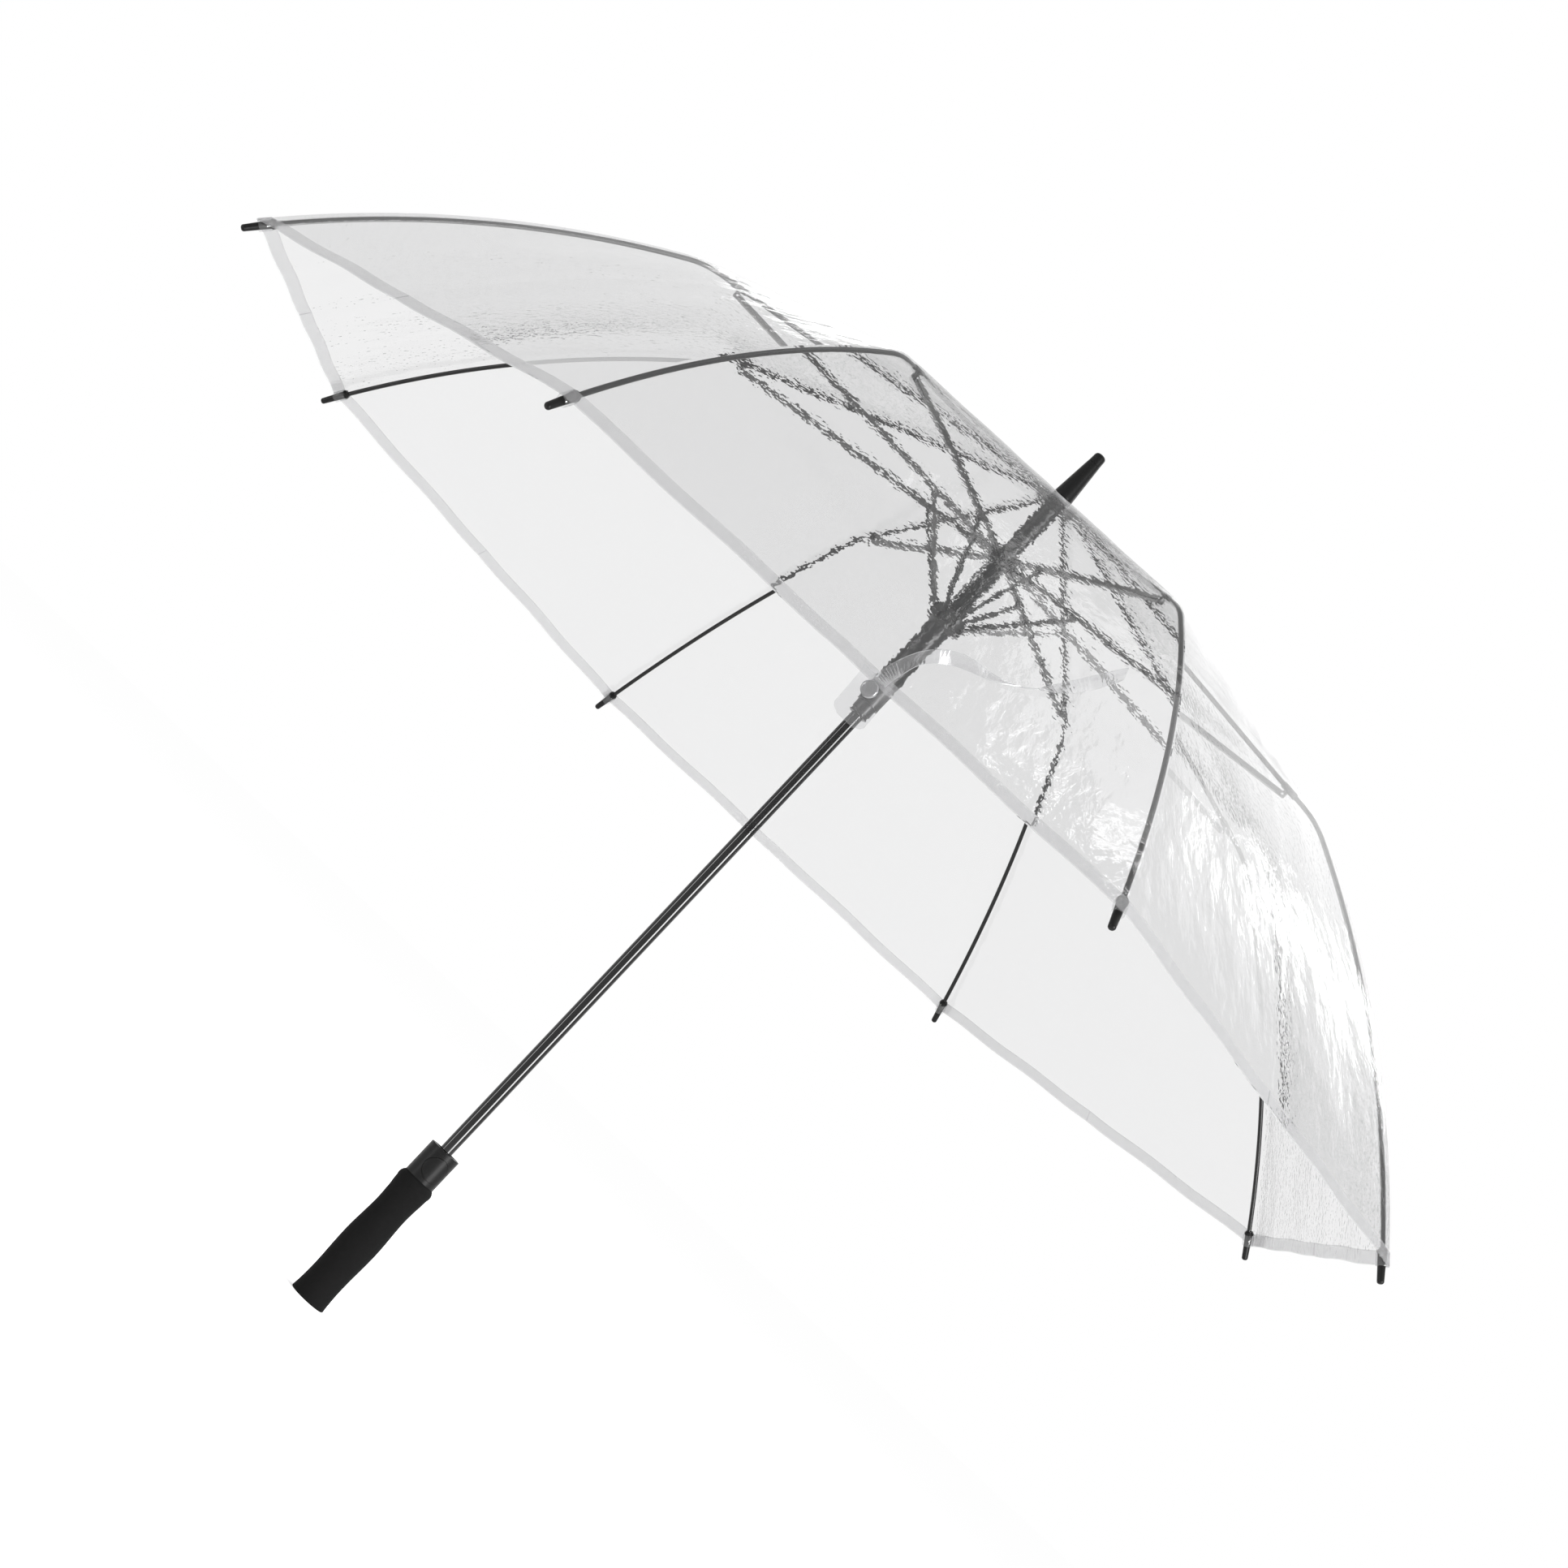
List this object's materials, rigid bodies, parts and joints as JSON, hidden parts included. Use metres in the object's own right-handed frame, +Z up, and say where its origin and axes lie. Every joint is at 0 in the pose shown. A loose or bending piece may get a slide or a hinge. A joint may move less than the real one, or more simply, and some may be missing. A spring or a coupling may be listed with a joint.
{
  "type": "clear stick umbrella",
  "caption": "Open stick umbrella with a clear shallow dome canopy on black ribs, a black shaft, tapered ferrule and straight foam grip with a push-button housing.",
  "frame": {"origin": "centre of the grip's flat end face, at the bottom of the handle", "axes": "+Z up the shaft to the ferrule; rib 1 lies over +X; the push button faces -Y"},
  "size_m": [1.3088, 1.3088, 1],
  "materials": {
    "shaft_gloss": "gloss",
    "hub_plastic": "satin",
    "satin_plastic": "satin",
    "grip_foam": "matte",
    "rib_rod": "satin",
    "frame_steel": "satin",
    "spring_steel": "satin",
    "clear_washer": "satin",
    "clear_snap": "gloss",
    "clear_film": "gloss"
  },
  "bodies": {
    "shaft_and_handle": {"shaft": "shaft_gloss", "top_notch": "hub_plastic", "crown_washer": "clear_washer", "ferrule_cap": "satin_plastic", "ferrule_tip": "satin_plastic", "handle_housing": "satin_plastic", "handle_grip": "grip_foam"},
    "button": {"push_button": "satin_plastic", "latch_yoke": "hub_plastic", "button_spring": "spring_steel"},
    "hub": {"upper_hub": "hub_plastic", "hub_wire": "spring_steel", "main_spring": "spring_steel"},
    "runner": {"lower_runner": "hub_plastic"},
    "stretcher_1": {"stretcher_1": "frame_steel"},
    "strut_1": {"strut_1": "frame_steel"},
    "rib_inner_1": {"rib_inner_1": "rib_rod", "canopy_quarter_1": "clear_film"},
    "rib_outer_1": {"rib_outer_1": "rib_rod", "tip_cap_1": "satin_plastic"},
    "stretcher_2": {"stretcher_2": "frame_steel"},
    "strut_2": {"strut_2": "frame_steel"},
    "rib_inner_2": {"rib_inner_2": "rib_rod"},
    "rib_outer_2": {"rib_outer_2": "rib_rod", "tip_cap_2": "satin_plastic"},
    "stretcher_3": {"stretcher_3": "frame_steel"},
    "strut_3": {"strut_3": "frame_steel"},
    "rib_inner_3": {"rib_inner_3": "rib_rod", "canopy_quarter_2": "clear_film"},
    "rib_outer_3": {"rib_outer_3": "rib_rod", "tip_cap_3": "satin_plastic"},
    "stretcher_4": {"stretcher_4": "frame_steel"},
    "strut_4": {"strut_4": "frame_steel"},
    "rib_inner_4": {"rib_inner_4": "rib_rod"},
    "rib_outer_4": {"rib_outer_4": "rib_rod", "tip_cap_4": "satin_plastic"},
    "stretcher_5": {"stretcher_5": "frame_steel"},
    "strut_5": {"strut_5": "frame_steel"},
    "rib_inner_5": {"rib_inner_5": "rib_rod", "canopy_quarter_3": "clear_film"},
    "rib_outer_5": {"rib_outer_5": "rib_rod", "tip_cap_5": "satin_plastic"},
    "stretcher_6": {"stretcher_6": "frame_steel"},
    "strut_6": {"strut_6": "frame_steel"},
    "rib_inner_6": {"rib_inner_6": "rib_rod"},
    "rib_outer_6": {"rib_outer_6": "rib_rod", "tip_cap_6": "satin_plastic"},
    "stretcher_7": {"stretcher_7": "frame_steel"},
    "strut_7": {"strut_7": "frame_steel"},
    "rib_inner_7": {"rib_inner_7": "rib_rod", "canopy_quarter_4": "clear_film"},
    "rib_outer_7": {"rib_outer_7": "rib_rod", "tip_cap_7": "satin_plastic", "closure_strap": "clear_film", "snap_stud": "clear_snap"},
    "stretcher_8": {"stretcher_8": "frame_steel"},
    "strut_8": {"strut_8": "frame_steel"},
    "rib_inner_8": {"rib_inner_8": "rib_rod"},
    "rib_outer_8": {"rib_outer_8": "rib_rod", "tip_cap_8": "satin_plastic"}
  },
  "joints": [
    {"name": "frame_close", "type": "slide", "parent": "shaft_and_handle", "child": "hub", "axis": [0, 0, -1], "range_m": [0, 0.57565], "stiffness_N_per_m": 25, "springref_m": -0.6, "deforming": ["main_spring", "canopy_quarter_1", "canopy_quarter_2", "canopy_quarter_3", "canopy_quarter_4", "closure_strap", "snap_stud"]},
    {"name": "runner_slide", "type": "slide", "parent": "shaft_and_handle", "child": "runner", "axis": [0, 0, -1], "range_m": [-0.0005, 0.52595]},
    {"name": "button_press", "type": "slide", "parent": "shaft_and_handle", "child": "button", "axis": [0, 1, 0], "range_m": [0, 0.0016], "stiffness_N_per_m": 1500, "springref_m": -0.002, "deforming": ["button_spring"]},
    {"name": "stretcher_1_hinge", "type": "hinge", "parent": "hub", "child": "stretcher_1", "pos_m": [0.012, 0, 0.858], "axis": [0, 1, 0], "range_deg": [-91.94, 0.6]},
    {"name": "rib_1_hinge", "type": "hinge", "parent": "stretcher_1", "child": "rib_inner_1", "pos_m": [0.3336, 0, 0.85199], "axis": [0, 1, 0], "range_deg": [-0.6, 169.24]},
    {"name": "rib_1_bend", "type": "hinge", "parent": "rib_inner_1", "child": "rib_outer_1", "pos_m": [0.34478, 0, 0.85613], "axis": [0, 1, 0], "range_deg": [-32.5, 0.6]},
    {"name": "strut_1_hinge", "type": "hinge", "parent": "stretcher_1", "child": "strut_1", "pos_m": [0.0869, 0, 0.852], "axis": [0, 1, 0], "range_deg": [-0.6, 44.5]},
    {"name": "stretcher_2_hinge", "type": "hinge", "parent": "hub", "child": "stretcher_2", "pos_m": [0.00849, 0.00849, 0.858], "axis": [-0.7071, 0.7071, 0], "range_deg": [-91.94, 0.6]},
    {"name": "rib_2_hinge", "type": "hinge", "parent": "stretcher_2", "child": "rib_inner_2", "pos_m": [0.23589, 0.23589, 0.85199], "axis": [-0.7071, 0.7071, 0], "range_deg": [-0.6, 169.24]},
    {"name": "rib_2_bend", "type": "hinge", "parent": "rib_inner_2", "child": "rib_outer_2", "pos_m": [0.2438, 0.2438, 0.85613], "axis": [-0.7071, 0.7071, 0], "range_deg": [-32.5, 0.6]},
    {"name": "strut_2_hinge", "type": "hinge", "parent": "stretcher_2", "child": "strut_2", "pos_m": [0.06145, 0.06145, 0.852], "axis": [-0.7071, 0.7071, 0], "range_deg": [-0.6, 44.5]},
    {"name": "stretcher_3_hinge", "type": "hinge", "parent": "hub", "child": "stretcher_3", "pos_m": [0, 0.012, 0.858], "axis": [-1, 0, 0], "range_deg": [-91.94, 0.6]},
    {"name": "rib_3_hinge", "type": "hinge", "parent": "stretcher_3", "child": "rib_inner_3", "pos_m": [0, 0.3336, 0.85199], "axis": [-1, 0, 0], "range_deg": [-0.6, 169.24]},
    {"name": "rib_3_bend", "type": "hinge", "parent": "rib_inner_3", "child": "rib_outer_3", "pos_m": [0, 0.34478, 0.85613], "axis": [-1, 0, 0], "range_deg": [-32.5, 0.6]},
    {"name": "strut_3_hinge", "type": "hinge", "parent": "stretcher_3", "child": "strut_3", "pos_m": [0, 0.0869, 0.852], "axis": [-1, 0, 0], "range_deg": [-0.6, 44.5]},
    {"name": "stretcher_4_hinge", "type": "hinge", "parent": "hub", "child": "stretcher_4", "pos_m": [-0.00849, 0.00849, 0.858], "axis": [-0.7071, -0.7071, 0], "range_deg": [-91.94, 0.6]},
    {"name": "rib_4_hinge", "type": "hinge", "parent": "stretcher_4", "child": "rib_inner_4", "pos_m": [-0.23589, 0.23589, 0.85199], "axis": [-0.7071, -0.7071, 0], "range_deg": [-0.6, 169.24]},
    {"name": "rib_4_bend", "type": "hinge", "parent": "rib_inner_4", "child": "rib_outer_4", "pos_m": [-0.2438, 0.2438, 0.85613], "axis": [-0.7071, -0.7071, 0], "range_deg": [-32.5, 0.6]},
    {"name": "strut_4_hinge", "type": "hinge", "parent": "stretcher_4", "child": "strut_4", "pos_m": [-0.06145, 0.06145, 0.852], "axis": [-0.7071, -0.7071, 0], "range_deg": [-0.6, 44.5]},
    {"name": "stretcher_5_hinge", "type": "hinge", "parent": "hub", "child": "stretcher_5", "pos_m": [-0.012, 0, 0.858], "axis": [0, -1, 0], "range_deg": [-91.94, 0.6]},
    {"name": "rib_5_hinge", "type": "hinge", "parent": "stretcher_5", "child": "rib_inner_5", "pos_m": [-0.3336, 0, 0.85199], "axis": [0, -1, 0], "range_deg": [-0.6, 169.24]},
    {"name": "rib_5_bend", "type": "hinge", "parent": "rib_inner_5", "child": "rib_outer_5", "pos_m": [-0.34478, 0, 0.85613], "axis": [0, -1, 0], "range_deg": [-32.5, 0.6]},
    {"name": "strut_5_hinge", "type": "hinge", "parent": "stretcher_5", "child": "strut_5", "pos_m": [-0.0869, 0, 0.852], "axis": [0, -1, 0], "range_deg": [-0.6, 44.5]},
    {"name": "stretcher_6_hinge", "type": "hinge", "parent": "hub", "child": "stretcher_6", "pos_m": [-0.00849, -0.00849, 0.858], "axis": [0.7071, -0.7071, 0], "range_deg": [-91.94, 0.6]},
    {"name": "rib_6_hinge", "type": "hinge", "parent": "stretcher_6", "child": "rib_inner_6", "pos_m": [-0.23589, -0.23589, 0.85199], "axis": [0.7071, -0.7071, 0], "range_deg": [-0.6, 169.24]},
    {"name": "rib_6_bend", "type": "hinge", "parent": "rib_inner_6", "child": "rib_outer_6", "pos_m": [-0.2438, -0.2438, 0.85613], "axis": [0.7071, -0.7071, 0], "range_deg": [-32.5, 0.6]},
    {"name": "strut_6_hinge", "type": "hinge", "parent": "stretcher_6", "child": "strut_6", "pos_m": [-0.06145, -0.06145, 0.852], "axis": [0.7071, -0.7071, 0], "range_deg": [-0.6, 44.5]},
    {"name": "stretcher_7_hinge", "type": "hinge", "parent": "hub", "child": "stretcher_7", "pos_m": [0, -0.012, 0.858], "axis": [1, 0, 0], "range_deg": [-91.94, 0.6]},
    {"name": "rib_7_hinge", "type": "hinge", "parent": "stretcher_7", "child": "rib_inner_7", "pos_m": [0, -0.3336, 0.85199], "axis": [1, 0, 0], "range_deg": [-0.6, 169.24]},
    {"name": "rib_7_bend", "type": "hinge", "parent": "rib_inner_7", "child": "rib_outer_7", "pos_m": [0, -0.34478, 0.85613], "axis": [1, 0, 0], "range_deg": [-32.5, 0.6]},
    {"name": "strut_7_hinge", "type": "hinge", "parent": "stretcher_7", "child": "strut_7", "pos_m": [0, -0.0869, 0.852], "axis": [1, 0, 0], "range_deg": [-0.6, 44.5]},
    {"name": "stretcher_8_hinge", "type": "hinge", "parent": "hub", "child": "stretcher_8", "pos_m": [0.00849, -0.00849, 0.858], "axis": [0.7071, 0.7071, 0], "range_deg": [-91.94, 0.6]},
    {"name": "rib_8_hinge", "type": "hinge", "parent": "stretcher_8", "child": "rib_inner_8", "pos_m": [0.23589, -0.23589, 0.85199], "axis": [0.7071, 0.7071, 0], "range_deg": [-0.6, 169.24]},
    {"name": "rib_8_bend", "type": "hinge", "parent": "rib_inner_8", "child": "rib_outer_8", "pos_m": [0.2438, -0.2438, 0.85613], "axis": [0.7071, 0.7071, 0], "range_deg": [-32.5, 0.6]},
    {"name": "strut_8_hinge", "type": "hinge", "parent": "stretcher_8", "child": "strut_8", "pos_m": [0.06145, -0.06145, 0.852], "axis": [0.7071, 0.7071, 0], "range_deg": [-0.6, 44.5]}
  ],
  "couplings": [
    {"joint": "runner_slide", "follows": "frame_close", "ratio": 0.91279},
    {"joint": "stretcher_1_hinge", "follows": "frame_close", "rad_per_m": -2.7693},
    {"joint": "rib_1_hinge", "follows": "frame_close", "rad_per_m": 5.113},
    {"joint": "rib_1_bend", "follows": "frame_close", "rad_per_m": -0.96719},
    {"joint": "strut_1_hinge", "follows": "frame_close", "rad_per_m": 1.3311},
    {"joint": "stretcher_2_hinge", "follows": "frame_close", "rad_per_m": -2.7693},
    {"joint": "rib_2_hinge", "follows": "frame_close", "rad_per_m": 5.113},
    {"joint": "rib_2_bend", "follows": "frame_close", "rad_per_m": -0.96719},
    {"joint": "strut_2_hinge", "follows": "frame_close", "rad_per_m": 1.3311},
    {"joint": "stretcher_3_hinge", "follows": "frame_close", "rad_per_m": -2.7693},
    {"joint": "rib_3_hinge", "follows": "frame_close", "rad_per_m": 5.113},
    {"joint": "rib_3_bend", "follows": "frame_close", "rad_per_m": -0.96719},
    {"joint": "strut_3_hinge", "follows": "frame_close", "rad_per_m": 1.3311},
    {"joint": "stretcher_4_hinge", "follows": "frame_close", "rad_per_m": -2.7693},
    {"joint": "rib_4_hinge", "follows": "frame_close", "rad_per_m": 5.113},
    {"joint": "rib_4_bend", "follows": "frame_close", "rad_per_m": -0.96719},
    {"joint": "strut_4_hinge", "follows": "frame_close", "rad_per_m": 1.3311},
    {"joint": "stretcher_5_hinge", "follows": "frame_close", "rad_per_m": -2.7693},
    {"joint": "rib_5_hinge", "follows": "frame_close", "rad_per_m": 5.113},
    {"joint": "rib_5_bend", "follows": "frame_close", "rad_per_m": -0.96719},
    {"joint": "strut_5_hinge", "follows": "frame_close", "rad_per_m": 1.3311},
    {"joint": "stretcher_6_hinge", "follows": "frame_close", "rad_per_m": -2.7693},
    {"joint": "rib_6_hinge", "follows": "frame_close", "rad_per_m": 5.113},
    {"joint": "rib_6_bend", "follows": "frame_close", "rad_per_m": -0.96719},
    {"joint": "strut_6_hinge", "follows": "frame_close", "rad_per_m": 1.3311},
    {"joint": "stretcher_7_hinge", "follows": "frame_close", "rad_per_m": -2.7693},
    {"joint": "rib_7_hinge", "follows": "frame_close", "rad_per_m": 5.113},
    {"joint": "rib_7_bend", "follows": "frame_close", "rad_per_m": -0.96719},
    {"joint": "strut_7_hinge", "follows": "frame_close", "rad_per_m": 1.3311},
    {"joint": "stretcher_8_hinge", "follows": "frame_close", "rad_per_m": -2.7693},
    {"joint": "rib_8_hinge", "follows": "frame_close", "rad_per_m": 5.113},
    {"joint": "rib_8_bend", "follows": "frame_close", "rad_per_m": -0.96719},
    {"joint": "strut_8_hinge", "follows": "frame_close", "rad_per_m": 1.3311}
  ]
}
